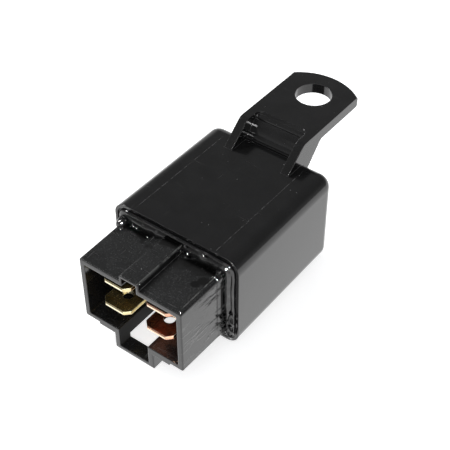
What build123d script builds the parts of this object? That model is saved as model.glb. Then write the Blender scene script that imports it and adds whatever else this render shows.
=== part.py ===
from build123d import *
from math import atan, cos, degrees, radians, sin, tan
import os

# Plug-in relay with a moulded fixing bracket: a box-shaped case potted round a four-blade connector,
# holding a hinged-armature relay. Millimetres. The origin is the centre of the bracket's hole, on the
# underside of its lug. X runs across the case, +Y from the connector's mouth to the bracket, +Z up.

# Bracket lug, moulded with the case
lug_width = 15.0
lug_thickness = 2.2
lug_reach = 7.3          # hole centre to the middle of the rounded end
lug_end_radius = 11.5
lug_edge = 0.3
hole_diameter = 7.4
hole_to_case = 13.7      # hole centre to the case's rear wall
lug_rise = 2.1           # lug's underside above the top of the case
rail_width = 1.8
rail_foot = 5.8          # the rails start this far in front of the case's rear wall
rail_crest = 0.65        # and reach the lug's level here
pocket_foot = 0.9
pocket_top = 3.2         # the lug's flat top starts this far behind the case's rear wall
gusset_back = 5.1
gusset_drop = 3.4
bend_radius = 1.6
pocket_corner = 1.4
ridge_edges = (0.02, 0.22, 0.69, 0.89)   # where the pocket's ridges begin and end, up its slope
ridge_rise = 0.3

# Case
case_length = 30.4
case_wall = 1.2
rim_wall = 0.6           # the wall thins to this at the mouth, down to the flange
case_corner = 2.8
case_rear_edge = 2.2
case_draft = 0.3
side_margin = 2.65       # the case stands out past the connector by this much at each side
top_margin = 3.22
bottom_margin = 2.86

# Connector shroud, in front of the case
shroud_width = 23.1
shroud_height = 14.62
shroud_reach = 12.8
shroud_wall = 1.05
shroud_corner = 0.6
mouth_edge = 0.2
shroud_draft = 0.8
collar_depth = 2.8
collar_rise = 0.35       # the collar flares from the shroud's sides by this, down to the flange
collar_shoulder = 1.4    # and takes in this much of its top and floor
key_width = 3.4
key_wall = 0.5
key_rise = 1.42
key_corner = 0.5
pad_width = 16.6
pad_depth = 0.55

# Latch staple under the connector's floor
latch_gap = 6.85
latch_leg = 1.15
latch_drop = 4.2
latch_bar = 0.9
latch_bar_depth = 2.9
latch_rail_drop = 2.3
latch_window = 10.0
latch_clearance = 0.3

# Base flange inside the case's mouth, and the potting in front of it
flange_recess = 1.0
flange_thickness = 3.0
flange_gap = 0.05
potting_gap = 0.7        # groove between the potting's bead and the rim
potting_depth = 0.6      # of that groove
potting_proud = 0.4      # the bead stands out of the mouth by this
potting_draft = 12
post_width = 3.2
post_small = 0.9

# Terminals: flat blades in two columns and two rows
blade_width = 6.3
blade_thickness = 0.8
blade_chamfer = 1.15
blade_bevel = 0.2
blade_hole = 2.2
blade_hole_back = 3.95   # hole centre behind the tip
column_pitch = 9.8
row_pitch = 5.6
row_offset = 0.49        # middle of the rows above the middle of the shroud
lower_tip = 0.8          # tips lie this far inside the mouth
upper_tip = 1.2
slot_gap = 0.03
strip_bend = 0.9
leg_bend = 0.05          # inside radius of the coil terminals' bends
tail_cover = 1.69        # between a solder tail's middle and the case's inside
tail_width = 2.6
tail_length = 5.2
tail_leg_width = 4.4

# Magnet: yoke, core, bobbin and winding
yoke_gap = 0.9           # between the yoke and the case's side wall
yoke_thickness = 1.5
yoke_width = 10.0
yoke_standoff = 1.9
yoke_bend = 0.2          # inside radius
yoke_overhang = 5.0      # of the yoke's short leg past the coil's axis
core_diameter = 4.8
core_rivet = 3.6
core_gap = 0.03
pole_diameter = 8.4
pole_thickness = 1.0
pole_edge = 0.2
bobbin_flange = 1.0
bobbin_tube = 0.7
bobbin_margin = 0.45     # flange past the winding
bobbin_gap = 0.05
bobbin_side = 0.3        # between the flanges and the yoke
coil_clearance = 1.15    # between the bobbin and the contact terminals
winding_turns = 16       # ridges of the outer layer that show

# Armature and contacts
open_angle = 3.0
closed_gap = 0.06
armature_thickness = 1.4
armature_overhang = 0.3  # of the armature's tip past the bobbin's flange
armature_neck = 7.0
armature_tip = 6.0
armature_setback = 0.15  # of the plate's hinged edge from the yoke's outer edge
arm_thickness = 0.4
arm_width = 4.0
arm_start = 4.9
arm_past_contact = 2.4
arm_heel = 1.3           # from the arm's start to its first rivet
arm_toe = 2.2            # from its second rivet to the armature's tip
arm_tab_drop = 4.3
arm_tab_width = 2.6
contact_diameter = 3.2
contact_height = 1.0
contact_shank = 1.6
contact_tail = 0.4
contact_edge = 0.3
rear_room = 2.9          # behind the armature, to the case's rear wall
stop_width = 1.3
stop_thickness = 0.9
stop_gap = 0.06
stop_side = 0.15         # between the stop and the contact arm's edge

# Springs, rivets, braid, resistor and wires
spring_thickness = 0.25
spring_width = 5.0
spring_fixed = 8.0
spring_moving = 4.2
spring_bend = 0.7
rivet_diameter = 1.3
rivet_head = 2.2
rivet_head_height = 0.35
rivet_gap = 0.03
spring_rivet_spacing = 2.5
braid_diameter = 1.2
braid_sag = 2.3
braid_pad = 4.0
resistor_diameter = 2.1
resistor_length = 6.2
resistor_end = 0.25
resistor_gap = 0.7
wire_diameter = 0.5
wire_bend = 0.9

# Derived sizes of the case and connector
case_width = shroud_width + 2 * side_margin
case_height = shroud_height + top_margin + bottom_margin
case_top = -lug_rise
case_middle = case_top - case_height / 2
case_rear = -hole_to_case
case_front = case_rear - case_length
mouth = case_front - shroud_reach
flange_front = case_front + flange_recess
flange_rear = flange_front + flange_thickness
shroud_top = case_top - top_margin
shroud_bottom = shroud_top - shroud_height
shroud_middle = (shroud_top + shroud_bottom) / 2
shroud_length = flange_front - mouth
shroud_growth = shroud_length * tan(radians(shroud_draft))
collar_length = flange_recess + collar_depth
collar_draft = shroud_draft + degrees(atan(collar_rise / collar_length))
inner_width = case_width - 2 * case_wall
inner_height = case_height - 2 * case_wall
inner_corner = case_corner - case_wall
inner_rear = case_rear - case_wall
flange_draft = (flange_recess + flange_thickness) * tan(radians(case_draft))

# Derived places of the terminals
axis_z = shroud_middle + row_offset
upper_z = axis_z + row_pitch / 2
lower_z = axis_z - row_pitch / 2
coil_column = -column_pitch / 2
contact_column = column_pitch / 2
upper_tail_z = case_top - case_wall - tail_cover
lower_tail_z = case_top - case_height + case_wall + tail_cover

# Derived places of the magnet
yoke_outer = -inner_width / 2 + yoke_gap
yoke_inner = yoke_outer + yoke_thickness
bobbin_right = contact_column - blade_width / 2 - coil_clearance
bobbin_width = bobbin_right - yoke_inner - bobbin_side
coil_x = bobbin_right - bobbin_width / 2
armature_length = bobbin_right + armature_overhang - yoke_outer
winding_radius = bobbin_width / 2 - bobbin_margin
yoke_front = flange_rear + yoke_standoff
bobbin_front = yoke_front + yoke_thickness
pole_face = inner_rear - rear_room - armature_thickness - closed_gap
bobbin_rear = pole_face - pole_thickness
winding_front = bobbin_front + bobbin_flange
winding_rear = bobbin_rear - bobbin_flange
hinge_y = pole_face + closed_gap
yoke_rivet_y = pole_face - spring_bend - spring_fixed / 2
contact_reach = contact_column - yoke_outer
arm_front = hinge_y + armature_thickness
fixed_face = arm_front - contact_height - closed_gap
plate_front = fixed_face - contact_height - blade_thickness


# A plane across the relay at y, facing the connector's mouth
def section(y):
    return Plane.XZ.offset(-y)


# Plane of the armature's front face when it is open, and of things that lie a distance behind it
def open_plane(distance=0.0):
    angle = radians(open_angle)
    along = Vector(cos(angle), sin(angle), 0)
    normal = Vector(-sin(angle), cos(angle), 0)
    return Plane(Vector(yoke_outer, hinge_y, axis_z) + normal * distance, x_dir=along, z_dir=normal)


# Case with its moulded bracket
with BuildPart() as bracket:
    lug_top = lug_thickness
    foot = case_top - case_wall / 2
    wall_inside = case_rear - case_wall / 2
    with BuildSketch(Plane.YZ):
        with BuildLine():
            FilletPolyline(
                (case_rear - rail_foot, foot),
                (case_rear - rail_foot, case_top),
                (case_rear - rail_crest, lug_top),
                (lug_reach, lug_top),
                (lug_reach, 0),
                (case_rear + gusset_back, 0),
                (case_rear, case_top - gusset_drop),
                (wall_inside, case_top - gusset_drop),
                (wall_inside, foot),
                radius=[0, 0, bend_radius, 0, 0, bend_radius, 0, 0, 0],
                close=True,
            )
        make_face()
    extrude(amount=lug_width / 2, both=True)
    # Pocket between the side rails, down to the case, rounded at its two upper corners
    pocket_front = case_rear - rail_foot - rail_width
    pocket_back = case_rear + pocket_top
    pocket_width = lug_width - 2 * rail_width
    with BuildPart(mode=Mode.PRIVATE) as pocket:
        with BuildSketch(Plane.YZ):
            with BuildLine():
                Polyline(
                    (pocket_front, foot),
                    (case_rear - pocket_foot, foot),
                    (case_rear - pocket_foot, case_top),
                    (pocket_back, lug_top),
                    (pocket_back, lug_top + rail_width),
                    (pocket_front, lug_top + rail_width),
                    close=True,
                )
            make_face()
        extrude(amount=pocket_width / 2, both=True)
        with BuildSketch(Plane.XY) as pocket_plan:
            with Locations((0, pocket_back)):
                Rectangle(pocket_width, pocket_back - pocket_front, align=(Align.CENTER, Align.MAX))
            fillet(pocket_plan.vertices().group_by(Axis.Y)[-1], radius=pocket_corner)
        extrude(amount=case_height, both=True, mode=Mode.INTERSECT)
    add(pocket.part, mode=Mode.SUBTRACT)
    # Rounded ridges across the pocket's slope
    slope_foot = Vector(case_rear - pocket_foot, case_top)
    slope = Vector(pocket_back, lug_top) - slope_foot
    ridge_crown = slope.normalized().rotate(Axis.Z, 90) * ridge_rise
    with BuildSketch(Plane.YZ):
        for low, high in zip(ridge_edges, ridge_edges[1:]):
            below = slope_foot + slope * low
            above = slope_foot + slope * high
            with BuildLine():
                ThreePointArc(below, (below + above) / 2 + ridge_crown, above)
                Line(above, below)
            make_face()
    extrude(amount=pocket_width / 2, both=True)
    # Rounded end of the lug, and its hole
    with BuildSketch():
        with BuildLine():
            end_side = lug_reach - lug_end_radius + (lug_end_radius**2 - (lug_width / 2) ** 2) ** 0.5
            ThreePointArc((-lug_width / 2, end_side), (0, lug_reach), (lug_width / 2, end_side))
            Polyline(
                (lug_width / 2, end_side),
                (lug_width / 2, case_front),
                (-lug_width / 2, case_front),
                (-lug_width / 2, end_side),
            )
        make_face()
    extrude(amount=case_height, both=True, mode=Mode.INTERSECT)
    chamfer(bracket.faces().sort_by(Axis.Y)[-1].edges().filter_by(GeomType.CIRCLE), length=lug_edge)
    with Locations((0, 0, 0)):
        Hole(hole_diameter / 2)

with BuildPart() as case:
    with BuildSketch(section(case_front)):
        with Locations((0, case_middle)):
            RectangleRounded(case_width, case_height, case_corner)
    extrude(amount=-case_length, taper=case_draft)
    fillet(case.faces().sort_by(Axis.Y)[-1].edges(), radius=case_rear_edge)
    add(bracket.part)
    with BuildSketch(section(case_front)):
        with Locations((0, case_middle)):
            RectangleRounded(inner_width, inner_height, inner_corner)
    extrude(amount=-(case_length - case_wall), taper=case_draft, mode=Mode.SUBTRACT)
    with BuildSketch(section(case_front)):
        with Locations((0, case_middle)):
            RectangleRounded(
                case_width - 2 * rim_wall, case_height - 2 * rim_wall, case_corner - rim_wall
            )
    extrude(amount=-flange_recess, mode=Mode.SUBTRACT)
case.part.label = "case"

# Base: connector shroud, keyway, latch staple and the flange that closes the case's mouth
with BuildPart() as base:
    with BuildSketch(section(flange_rear)):
        with Locations((0, case_middle)):
            RectangleRounded(
                inner_width - 2 * (flange_gap + flange_draft),
                inner_height - 2 * (flange_gap + flange_draft),
                inner_corner,
            )
    extrude(amount=flange_thickness)
    with BuildSketch(section(flange_front)):
        with Locations((0, shroud_middle)):
            RectangleRounded(
                shroud_width + 2 * shroud_growth, shroud_height + 2 * shroud_growth, shroud_corner
            )
    extrude(amount=shroud_length, taper=shroud_draft)
    with BuildSketch(section(flange_front)):
        with Locations((0, shroud_middle)):
            RectangleRounded(
                shroud_width + 2 * (shroud_growth + collar_rise),
                shroud_height + 2 * (shroud_growth + collar_rise),
                shroud_corner + collar_rise,
            )
            Rectangle(shroud_width - 2 * collar_shoulder, case_height, mode=Mode.SUBTRACT)
    extrude(amount=collar_length, taper=collar_draft)
    # Raised keyway on top, the pad under the floor, and the latch rails
    with BuildSketch(section(flange_front)) as outline:
        with Locations((0, shroud_top + key_rise)):
            Rectangle(
                key_width + 2 * key_wall, key_rise + shroud_wall, align=(Align.CENTER, Align.MAX)
            )
        fillet(outline.vertices().group_by(Axis.Y)[-1], radius=key_corner)
    extrude(amount=shroud_length)
    with BuildSketch(section(flange_front)):
        with Locations((0, shroud_bottom - pad_depth)):
            Rectangle(pad_width, pad_depth + shroud_wall, align=(Align.CENTER, Align.MIN))
    extrude(amount=shroud_length)
    with BuildSketch(section(case_front - latch_clearance)):
        with Locations(
            (-(latch_gap + latch_leg) / 2, shroud_bottom), ((latch_gap + latch_leg) / 2, shroud_bottom)
        ):
            Rectangle(latch_leg, latch_rail_drop, align=(Align.CENTER, Align.MAX))
    extrude(amount=shroud_reach - latch_clearance)
    with BuildSketch(section(mouth + latch_bar_depth)):
        with Locations((0, shroud_bottom)):
            Rectangle(latch_gap + 2 * latch_leg, latch_drop, align=(Align.CENTER, Align.MAX))
            Rectangle(
                latch_gap, latch_drop - latch_bar, align=(Align.CENTER, Align.MAX), mode=Mode.SUBTRACT
            )
    extrude(amount=latch_bar_depth)
    # Cavity, key slot and latch window
    with BuildSketch(section(flange_front)):
        with Locations((0, shroud_middle)):
            RectangleRounded(
                shroud_width - 2 * shroud_wall, shroud_height - 2 * shroud_wall, shroud_corner / 2
            )
        with Locations((0, shroud_middle)):
            Rectangle(
                key_width, shroud_height / 2 + key_rise - key_wall, align=(Align.CENTER, Align.MIN)
            )
    extrude(amount=shroud_length, mode=Mode.SUBTRACT)
    with BuildSketch(section(mouth + latch_window)):
        with Locations((0, shroud_bottom - latch_drop + latch_bar)):
            Rectangle(
                latch_gap,
                latch_drop - latch_bar + shroud_height / 2,
                align=(Align.CENTER, Align.MIN),
            )
    extrude(amount=latch_window, mode=Mode.SUBTRACT)
    fillet(base.faces().sort_by(Axis.Y)[0].outer_wire().edges(), radius=mouth_edge)
    # Posts that carry the yoke
    with BuildSketch(section(flange_rear)):
        with Locations((yoke_outer, axis_z)):
            Rectangle(post_width, yoke_width, align=(Align.MIN, Align.CENTER))
        with Locations((coil_x + yoke_overhang, axis_z)):
            Rectangle(post_small, yoke_width, align=(Align.MAX, Align.CENTER))
    extrude(amount=-yoke_standoff)
    # Slots for the four blades
    with BuildSketch(section(flange_front)):
        with Locations((0, axis_z)):
            with GridLocations(column_pitch, row_pitch, 2, 2):
                Rectangle(blade_width + 2 * slot_gap, blade_thickness + 2 * slot_gap)
    extrude(amount=-flange_thickness, mode=Mode.SUBTRACT)
base.part.label = "base"

# Potting that seals the base in the case's mouth, with a raised bead round the shroud
with BuildPart() as potting_seal:
    with BuildSketch(section(flange_front)):
        with Locations((0, case_middle)):
            RectangleRounded(
                case_width - 2 * rim_wall, case_height - 2 * rim_wall, case_corner - rim_wall
            )
    extrude(amount=flange_recess - potting_depth)
    with BuildSketch(section(flange_front)):
        with Locations((0, case_middle)):
            RectangleRounded(
                case_width - 2 * (rim_wall + potting_gap),
                case_height - 2 * (rim_wall + potting_gap),
                case_corner - rim_wall - potting_gap,
            )
    extrude(amount=flange_recess + potting_proud, taper=potting_draft)
    with BuildSketch(section(flange_front)):
        with Locations((0, shroud_middle)):
            Rectangle(shroud_width - shroud_wall, shroud_height - shroud_wall)
            Rectangle(
                key_width + key_wall,
                shroud_height / 2 + key_rise - key_wall / 2,
                align=(Align.CENTER, Align.MIN),
            )
    extrude(amount=flange_recess + potting_proud, mode=Mode.SUBTRACT)
    add(base.part, mode=Mode.SUBTRACT)
potting_seal.part.label = "potting_seal"


# A strip of sheet bent along a path in the plane at x
def bent_strip(x, path, thickness, width, radius):
    with BuildPart() as strip:
        with BuildSketch(Plane.YZ.offset(x)):
            with BuildLine():
                FilletPolyline(*path, radius=radius)
            trace(line_width=thickness)
        extrude(amount=width / 2, both=True)
    return strip.part


# What is cut from a blade: its corners, its hole and the bevels along its tip
def cut_blade(column, tip, z):
    with BuildPart() as cutter:
        with BuildSketch(Plane.XY.offset(z)):
            for side in (-1, 1):
                corner = column + side * blade_width / 2
                with BuildLine():
                    Polyline(
                        (corner, tip),
                        (corner - side * blade_chamfer, tip),
                        (corner, tip + blade_chamfer),
                        close=True,
                    )
                make_face()
            with Locations((column, tip + blade_hole_back)):
                Circle(blade_hole / 2)
        extrude(amount=blade_thickness, both=True)
        half = blade_thickness / 2
        with BuildSketch(Plane.YZ.offset(column)):
            for face in (-1, 1):
                with BuildLine():
                    Polyline(
                        (tip, z + face * half),
                        (tip, z + face * (half - blade_bevel)),
                        (tip + blade_bevel, z + face * half),
                        close=True,
                    )
                make_face()
        extrude(amount=blade_width, both=True)
    return cutter.part


# Coil terminal: blade, leg along the flange's inner face, and a solder tail over the coil
def coil_terminal(tip, z, tail_z):
    direction = 1 if tail_z > z else -1
    leg_y = flange_rear + blade_thickness / 2
    path = [(tip, z), (leg_y, z), (leg_y, tail_z), (flange_rear + tail_length, tail_z)]
    with BuildPart() as terminal:
        add(bent_strip(coil_column, path, blade_thickness, blade_width, blade_thickness / 2 + leg_bend))
        add(cut_blade(coil_column, tip, z), mode=Mode.SUBTRACT)
        with BuildSketch(section(flange_rear)):
            for side in (-1, 1):
                with Locations((coil_column + side * tail_leg_width / 2, z + direction * blade_thickness)):
                    Rectangle(
                        blade_width,
                        abs(tail_z - z),
                        align=(
                            Align.MIN if side > 0 else Align.MAX,
                            Align.MIN if direction > 0 else Align.MAX,
                        ),
                    )
        extrude(amount=-tail_length, mode=Mode.SUBTRACT)
        with BuildSketch(Plane.XY.offset(tail_z)):
            for side in (-1, 1):
                with Locations((coil_column + side * tail_width / 2, leg_y + blade_thickness / 2)):
                    Rectangle(
                        blade_width, tail_length, align=(Align.MIN if side > 0 else Align.MAX, Align.MIN)
                    )
        extrude(amount=blade_thickness, both=True, mode=Mode.SUBTRACT)
    return terminal.part


coil_terminals = {}
for name, tip, z, tail_z in (
    ("coil_terminal_upper", mouth + upper_tip, upper_z, upper_tail_z),
    ("coil_terminal_lower", mouth + lower_tip, lower_z, lower_tail_z),
):
    coil_terminals[name] = coil_terminal(tip, z, tail_z)
    coil_terminals[name].label = name


# Fixed contact's terminal: its blade runs beside the coil and turns to face the moving contact
plate_y = plate_front + blade_thickness / 2
with BuildPart() as fixed_terminal:
    path = [(mouth + upper_tip, upper_z), (plate_y, upper_z), (plate_y, axis_z - contact_diameter / 2)]
    add(bent_strip(contact_column, path, blade_thickness, blade_width, strip_bend))
    add(cut_blade(contact_column, mouth + upper_tip, upper_z), mode=Mode.SUBTRACT)
    with BuildSketch(section(plate_front)):
        with Locations((contact_column, axis_z)):
            Circle(contact_shank / 2 + rivet_gap)
    extrude(amount=-blade_thickness, mode=Mode.SUBTRACT)
fixed_terminal.part.label = "fixed_contact_terminal"

# Common terminal: ends beside the coil, where the braid is welded on
common_end = (flange_rear + plate_front) / 2
with BuildPart() as common_terminal:
    add(
        bent_strip(
            contact_column,
            [(mouth + lower_tip, lower_z), (flange_rear, lower_z), (common_end, lower_z)],
            blade_thickness,
            blade_width,
            0,
        )
    )
    add(cut_blade(contact_column, mouth + lower_tip, lower_z), mode=Mode.SUBTRACT)
common_terminal.part.label = "common_terminal"

# Yoke: an L of soft iron, with the core riveted in its short leg
with BuildPart() as yoke:
    middle = yoke_outer + yoke_thickness / 2
    with BuildSketch(Plane.XY.offset(axis_z)):
        with BuildLine():
            FilletPolyline(
                (coil_x + yoke_overhang, yoke_front + yoke_thickness / 2),
                (middle, yoke_front + yoke_thickness / 2),
                (middle, pole_face),
                radius=yoke_bend + yoke_thickness / 2,
            )
        trace(line_width=yoke_thickness)
    extrude(amount=yoke_width / 2, both=True)
    with BuildSketch(section(yoke_front)):
        with Locations((coil_x, axis_z)):
            Circle(core_rivet / 2 + core_gap)
    extrude(amount=-yoke_thickness, mode=Mode.SUBTRACT)
    # Holes for the return spring's rivets
    with BuildSketch(Plane.YZ.offset(yoke_outer)):
        with Locations((yoke_rivet_y, axis_z)):
            with GridLocations(1, spring_rivet_spacing, 1, 2):
                Circle(rivet_diameter / 2 + rivet_gap)
    extrude(amount=yoke_thickness, mode=Mode.SUBTRACT)
yoke.part.label = "yoke"

# Core: riveted foot, shaft and pole piece, turned about the coil's axis
coil_axis = Axis((coil_x, 0, axis_z), (0, 1, 0))
with BuildPart() as core:
    with BuildSketch(Plane.XY.offset(axis_z)):
        with BuildLine():
            Polyline(
                (coil_x, yoke_front),
                (coil_x + core_rivet / 2, yoke_front),
                (coil_x + core_rivet / 2, bobbin_front),
                (coil_x + core_diameter / 2, bobbin_front),
                (coil_x + core_diameter / 2, bobbin_rear),
                (coil_x + pole_diameter / 2, bobbin_rear),
                (coil_x + pole_diameter / 2, pole_face),
                (coil_x, pole_face),
                close=True,
            )
        make_face()
    revolve(axis=coil_axis)
    chamfer(core.faces().sort_by(Axis.Y)[-1].edges(), length=pole_edge)
core.part.label = "core"

# Bobbin: two flanges, a tube, and an arm that stops the armature when it opens
tube_radius = core_diameter / 2 + bobbin_gap + bobbin_tube
stop_x = yoke_outer + armature_length - stop_width
stop_y = (
    hinge_y
    + armature_thickness / cos(radians(open_angle))
    + (stop_x + stop_width - yoke_outer) * tan(radians(open_angle))
    + stop_gap
)
stop_inside = axis_z + arm_width / 2 + stop_side
stop_outside = axis_z + armature_tip / 2 + stop_gap
with BuildPart() as bobbin:
    for y in (bobbin_front, winding_rear):
        with BuildSketch(section(y)):
            with Locations((coil_x, axis_z)):
                RectangleRounded(bobbin_width, bobbin_width, bobbin_flange)
        extrude(amount=-bobbin_flange)
    with BuildSketch(section(bobbin_front)):
        with Locations((coil_x, axis_z)):
            Circle(tube_radius)
    extrude(amount=bobbin_front - bobbin_rear)
    with BuildSketch(section(bobbin_front)):
        with Locations((coil_x, axis_z)):
            Circle(core_diameter / 2 + bobbin_gap)
    extrude(amount=bobbin_front - bobbin_rear, mode=Mode.SUBTRACT)
    with BuildSketch(section(bobbin_rear)):
        with Locations((stop_x, stop_outside)):
            Rectangle(stop_width, stop_thickness, align=(Align.MIN, Align.MIN))
    extrude(amount=-(stop_y + stop_thickness - bobbin_rear))
    with BuildSketch(section(stop_y)):
        with Locations((stop_x, stop_inside)):
            Rectangle(stop_width, stop_outside + stop_thickness - stop_inside, align=(Align.MIN, Align.MIN))
    extrude(amount=-stop_thickness)
bobbin.part.label = "bobbin"

# Winding: its outer layer shows as fine rounded turns
with BuildPart() as coil_winding:
    pitch = (winding_rear - winding_front) / winding_turns
    turn_edge = coil_x + winding_radius - pitch / 4
    with BuildSketch(Plane.XY.offset(axis_z)):
        with BuildLine():
            for index in range(winding_turns):
                start = winding_front + index * pitch
                crown = (turn_edge + pitch / 4, start + pitch / 2)
                ThreePointArc((turn_edge, start), crown, (turn_edge, start + pitch))
            Polyline(
                (turn_edge, winding_rear),
                (coil_x + tube_radius + bobbin_gap, winding_rear),
                (coil_x + tube_radius + bobbin_gap, winding_front),
                (turn_edge, winding_front),
            )
        make_face()
    revolve(axis=coil_axis)
coil_winding.part.label = "coil_winding"

# Armature: a plate that narrows to its tip, hinged on the yoke's outer edge; modelled open
arm_end = contact_reach + arm_past_contact
spring_rivet_x = spring_moving / 2 + spring_bend
arm_rivet_places = [(arm_start + arm_heel, 0), (armature_length - arm_toe, 0)]
spring_rivet_places = [(spring_rivet_x, side * spring_rivet_spacing / 2) for side in (-1, 1)]
with BuildPart() as armature:
    with BuildSketch(open_plane()):
        with BuildLine():
            Polyline(
                (armature_setback, -yoke_width / 2),
                (armature_neck, -yoke_width / 2),
                (armature_length - stop_width - stop_side, -armature_tip / 2),
                (armature_length, -armature_tip / 2),
                (armature_length, armature_tip / 2),
                (armature_length - stop_width - stop_side, armature_tip / 2),
                (armature_neck, yoke_width / 2),
                (armature_setback, yoke_width / 2),
                close=True,
            )
        make_face()
        with Locations(*arm_rivet_places, *spring_rivet_places):
            Circle(rivet_diameter / 2 + rivet_gap, mode=Mode.SUBTRACT)
    extrude(amount=armature_thickness)
armature.part.label = "armature"

# Contact arm: a leaf riveted behind the armature, with a tab for the braid
with BuildPart() as contact_arm:
    with BuildSketch(open_plane(armature_thickness)):
        with Locations((arm_start, 0)):
            Rectangle(arm_end - arm_start - arm_width / 2, arm_width, align=(Align.MIN, Align.CENTER))
        with Locations((arm_end - arm_width / 2, 0)):
            Circle(arm_width / 2)
        with Locations((contact_reach, 0)):
            Rectangle(arm_tab_width, arm_tab_drop, align=(Align.CENTER, Align.MIN))
        with Locations(*arm_rivet_places):
            Circle(rivet_diameter / 2 + rivet_gap, mode=Mode.SUBTRACT)
        with Locations((contact_reach, 0)):
            Circle(contact_shank / 2 + rivet_gap, mode=Mode.SUBTRACT)
    extrude(amount=arm_thickness)
contact_arm.part.label = "contact_arm"


# A rivet through a plate: head behind it, shank flush with its front
def rivets(places, shank, plane):
    with BuildPart() as group:
        with BuildSketch(plane):
            with Locations(*places):
                Circle(rivet_head / 2)
        extrude(amount=rivet_head_height)
        with BuildSketch(plane):
            with Locations(*places):
                Circle(rivet_diameter / 2)
        extrude(amount=-shank)
    return group.part


arm_back = armature_thickness + arm_thickness
arm_rivets = rivets(arm_rivet_places, arm_back, open_plane(arm_back))
arm_rivets.label = "contact_arm_rivets"
spring_back = armature_thickness + rivet_gap + spring_thickness + rivet_gap
spring_rivets = rivets(spring_rivet_places, spring_back, open_plane(spring_back))
spring_rivets.label = "spring_rivets"
yoke_rivet_plane = Plane(
    origin=(yoke_outer - spring_thickness - 2 * rivet_gap, yoke_rivet_y, axis_z),
    x_dir=(0, 1, 0),
    z_dir=(-1, 0, 0),
)
yoke_rivets = rivets(
    [(0, -spring_rivet_spacing / 2), (0, spring_rivet_spacing / 2)],
    yoke_thickness + spring_thickness,
    yoke_rivet_plane,
)
yoke_rivets.label = "yoke_rivets"

# Contacts: silver rivets, headed on their facing sides
with BuildPart() as moving_contact:
    with BuildSketch(open_plane(armature_thickness)):
        with Locations((contact_reach, 0)):
            Circle(contact_diameter / 2)
    extrude(amount=-contact_height)
    chamfer(moving_contact.edges().sort_by(Axis.Y)[0], length=contact_edge)
    with BuildSketch(open_plane(armature_thickness)):
        with Locations((contact_reach, 0)):
            Circle(contact_shank / 2)
    extrude(amount=arm_thickness)
    with BuildSketch(open_plane(armature_thickness + arm_thickness)):
        with Locations((contact_reach, 0)):
            Circle(contact_shank / 2 + contact_tail)
    extrude(amount=contact_tail)
moving_contact.part.label = "moving_contact"

with BuildPart() as fixed_contact:
    with BuildSketch(section(fixed_face)):
        with Locations((contact_column, axis_z)):
            Circle(contact_diameter / 2)
    extrude(amount=contact_height)
    chamfer(fixed_contact.edges().sort_by(Axis.Y)[-1], length=contact_edge)
    with BuildSketch(section(fixed_face - contact_height)):
        with Locations((contact_column, axis_z)):
            Circle(contact_shank / 2)
    extrude(amount=blade_thickness)
    with BuildSketch(section(plate_front)):
        with Locations((contact_column, axis_z)):
            Circle(contact_shank / 2 + contact_tail)
    extrude(amount=contact_tail)
fixed_contact.part.label = "fixed_contact"

# Return spring: a leaf from the yoke's side round to the back of the armature
with BuildPart() as return_spring:
    lie = spring_thickness / 2 + rivet_gap
    back = open_plane(armature_thickness + lie)
    turn = back.from_local_coords(Vector(-lie, 0, 0))
    end = back.from_local_coords(Vector(spring_moving + spring_bend, 0, 0))
    start = Vector(yoke_outer - lie, pole_face - spring_fixed - spring_bend, axis_z)
    with BuildSketch(Plane.XY.offset(axis_z)):
        with BuildLine():
            FilletPolyline(
                (start.X, start.Y),
                (start.X, turn.Y),
                (end.X, end.Y),
                radius=spring_thickness,
            )
        trace(line_width=spring_thickness)
    extrude(amount=spring_width / 2, both=True)
    with BuildSketch(yoke_rivet_plane):
        with Locations((0, -spring_rivet_spacing / 2), (0, spring_rivet_spacing / 2)):
            Circle(rivet_diameter / 2 + rivet_gap)
    extrude(amount=yoke_thickness, both=True, mode=Mode.SUBTRACT)
    with BuildSketch(open_plane(armature_thickness)):
        with Locations(*spring_rivet_places):
            Circle(rivet_diameter / 2 + rivet_gap)
    extrude(amount=yoke_thickness, mode=Mode.SUBTRACT)
return_spring.part.label = "return_spring"

# Braid from the common terminal to the contact arm's tab
braid_radius = braid_diameter / 2
braid_z = lower_z - blade_thickness / 2 - braid_radius
tab_front = open_plane(armature_thickness).from_local_coords(Vector(contact_reach, 0, 0)).Y
with BuildPart() as braid:
    with BuildLine(Plane.YZ.offset(contact_column)) as braid_path:
        FilletPolyline(
            (common_end - braid_pad, braid_z),
            (common_end + braid_diameter, braid_z),
            ((common_end + tab_front) / 2, braid_z - braid_sag),
            (tab_front - braid_diameter, axis_z - arm_tab_drop + braid_radius),
            (tab_front - bobbin_gap, axis_z - arm_tab_drop + braid_radius),
            radius=[braid_diameter, braid_diameter * 2, braid_diameter / 2],
        )
    with BuildSketch(section(common_end - braid_pad)):
        with Locations((contact_column, braid_z)):
            Circle(braid_radius)
    sweep(path=braid_path.wires()[0])
braid.part.label = "braid"

# Suppression resistor across the coil, beside the contact terminals, with its two wires
resistor_x = contact_column + blade_width / 2 + resistor_gap + resistor_diameter / 2
resistor_y = flange_rear + resistor_gap + resistor_diameter / 2
with BuildPart() as resistor:
    with BuildSketch(Plane.XY.offset(axis_z - resistor_length / 2)):
        with Locations((resistor_x, resistor_y)):
            Circle(resistor_diameter / 2)
    extrude(amount=resistor_length)
    fillet(resistor.edges().filter_by(GeomType.CIRCLE), radius=resistor_end)
resistor.part.label = "resistor"


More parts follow.
